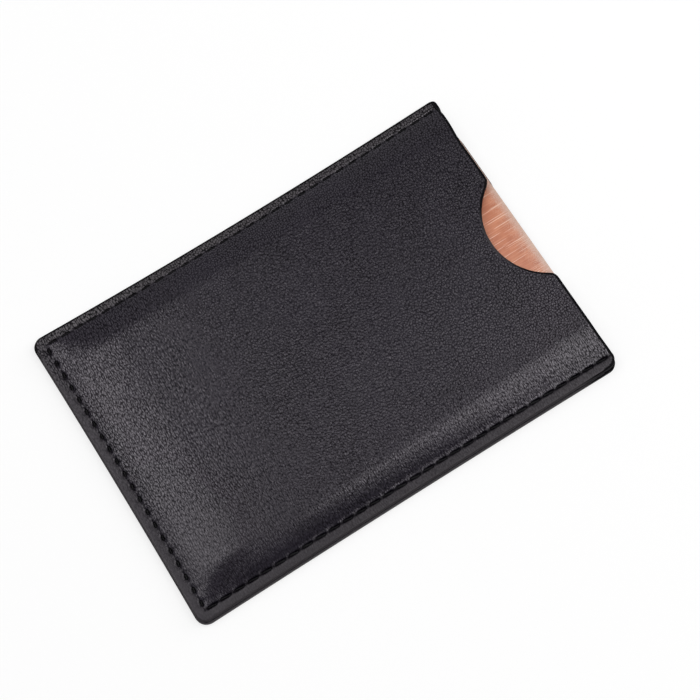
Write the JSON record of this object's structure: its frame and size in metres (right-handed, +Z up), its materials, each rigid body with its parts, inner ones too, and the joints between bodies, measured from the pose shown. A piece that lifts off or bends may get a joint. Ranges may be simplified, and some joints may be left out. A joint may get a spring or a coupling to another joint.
{
  "type": "leather card sleeve",
  "caption": "Flat black leather card sleeve, lock-stitched on three sides, open at one short end with a thumb notch, holding a card that slides out of its pocket.",
  "frame": {"origin": "middle of the back panel's flat outer face, which the sleeve lies on", "axes": "+X out of the mouth along the card's slide, +Y towards the upper long side, +Z up out of the front panel"},
  "size_m": [0.1, 0.071, 0.0044],
  "materials": {
    "black_leather": "fine-grained, semi-matt black",
    "lining_cloth": "plain woven dark grey cloth",
    "stiffener_board": "matt fibre board",
    "sewing_thread": "twisted black polyester",
    "copper_card": "laminated, brushed copper print"
  },
  "bodies": {
    "sleeve": {"front_panel": "black_leather", "front_lining": "lining_cloth", "back_panel": "black_leather", "back_stiffener": "stiffener_board", "back_lining": "lining_cloth", "needle_thread": "sewing_thread", "bobbin_thread": "sewing_thread"},
    "card": {"card": "copper_card"}
  },
  "joints": [
    {"name": "card_slide", "type": "slide", "parent": "sleeve", "child": "card", "axis": [1, 0, 0], "range_m": [-0.001, 0.0875]}
  ]
}
